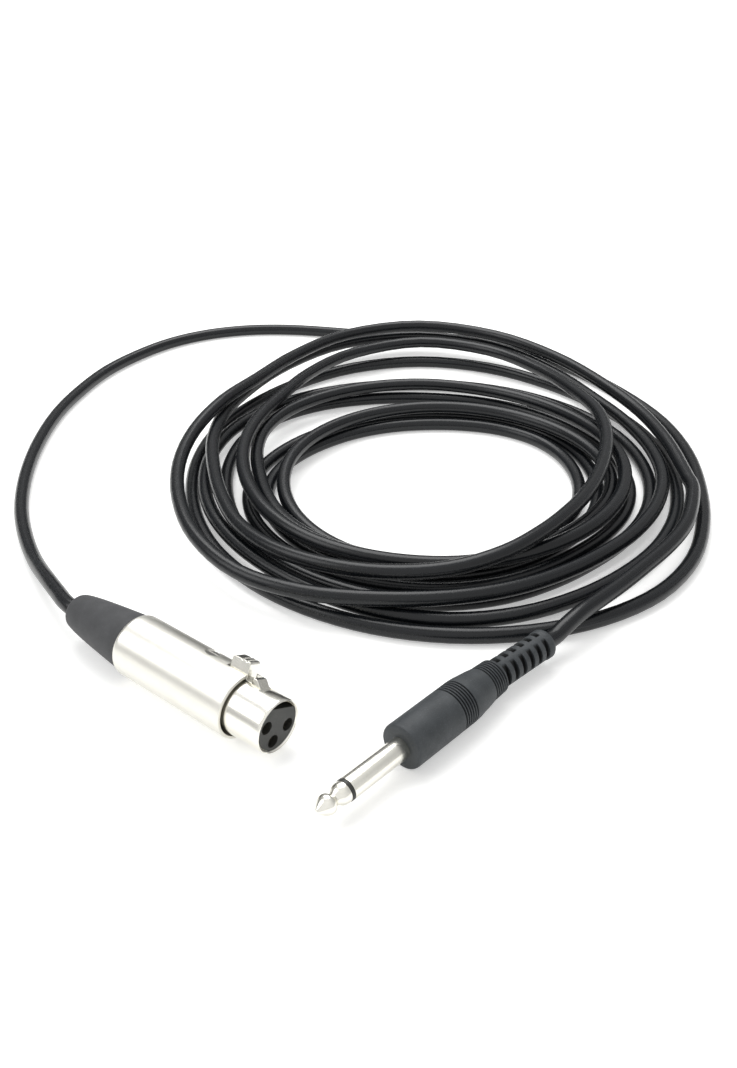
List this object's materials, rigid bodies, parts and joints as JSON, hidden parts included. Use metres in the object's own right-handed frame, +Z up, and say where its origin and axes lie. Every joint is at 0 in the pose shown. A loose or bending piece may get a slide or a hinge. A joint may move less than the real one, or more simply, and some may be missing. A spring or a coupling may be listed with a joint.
{
  "type": "instrument cable",
  "caption": "Round black instrument cable lying in a loose coil, with a latching three-pole socket plug at one end and a moulded 6.35 mm jack plug at the other.",
  "frame": {"origin": "on the table, below the centre of the box round the two plugs", "axes": "+Z up from the table, +Y towards the coil, +X to the right along the plugs' longer extent"},
  "size_m": [0.2695, 0.3418, 0.0218],
  "materials": {
    "cable_jacket": "satin black PVC",
    "satin_nickel": "satin nickel plate",
    "bright_nickel": "bright nickel plate",
    "steel_pin": "plain steel",
    "boot_rubber": "matte dark grey rubber",
    "grip_plastic": "fine textured charcoal PVC",
    "insert_plastic": "dark grey moulded plastic",
    "contact_brass": "plain brass",
    "copper_wire": "bare copper strands",
    "clamp_plastic": "natural plastic",
    "core_insulation": "white insulation",
    "tag_metal": "tinned tag"
  },
  "bodies": {
    "cable_and_plugs": {"cable_coil": "cable_jacket", "cable_lead_plug": "cable_jacket", "cable_lead_jack": "cable_jacket", "xlr_shell": "satin_nickel", "xlr_boot": "boot_rubber", "xlr_nose_sleeve": "bright_nickel", "xlr_socket_insert": "insert_plastic", "xlr_contact_1": "contact_brass", "xlr_contact_2": "contact_brass", "xlr_contact_3": "contact_brass", "xlr_latch_pin": "steel_pin", "xlr_latch_spring": "steel_pin", "xlr_insert_screw": "steel_pin", "xlr_cable_clamp": "clamp_plastic", "xlr_cable_end": "cable_jacket", "xlr_core_wire": "core_insulation", "xlr_screen_tail": "copper_wire", "xlr_link_wire": "copper_wire", "jack_handle": "grip_plastic", "jack_sleeve": "bright_nickel", "jack_insulating_ring": "insert_plastic", "jack_inner_insulator": "clamp_plastic", "jack_tip": "bright_nickel", "jack_tip_tag": "tag_metal", "jack_tag_washer": "clamp_plastic", "jack_sleeve_tag": "tag_metal", "jack_inner_mould": "clamp_plastic", "jack_cable_end": "cable_jacket", "jack_core_wire": "core_insulation", "jack_screen_tail": "copper_wire"},
    "latch": {"xlr_latch": "bright_nickel"}
  },
  "joints": [
    {"name": "latch_press", "type": "hinge", "parent": "cable_and_plugs", "child": "latch", "pos_m": [-0.02214, 0.00305, 0.01502], "axis": [0.5607, 0.6924, -0.454], "range_deg": [0, 7], "stiffness_Nm_per_rad": 0.35, "springref_deg": -5.73, "deforming": ["xlr_latch_spring"]}
  ]
}
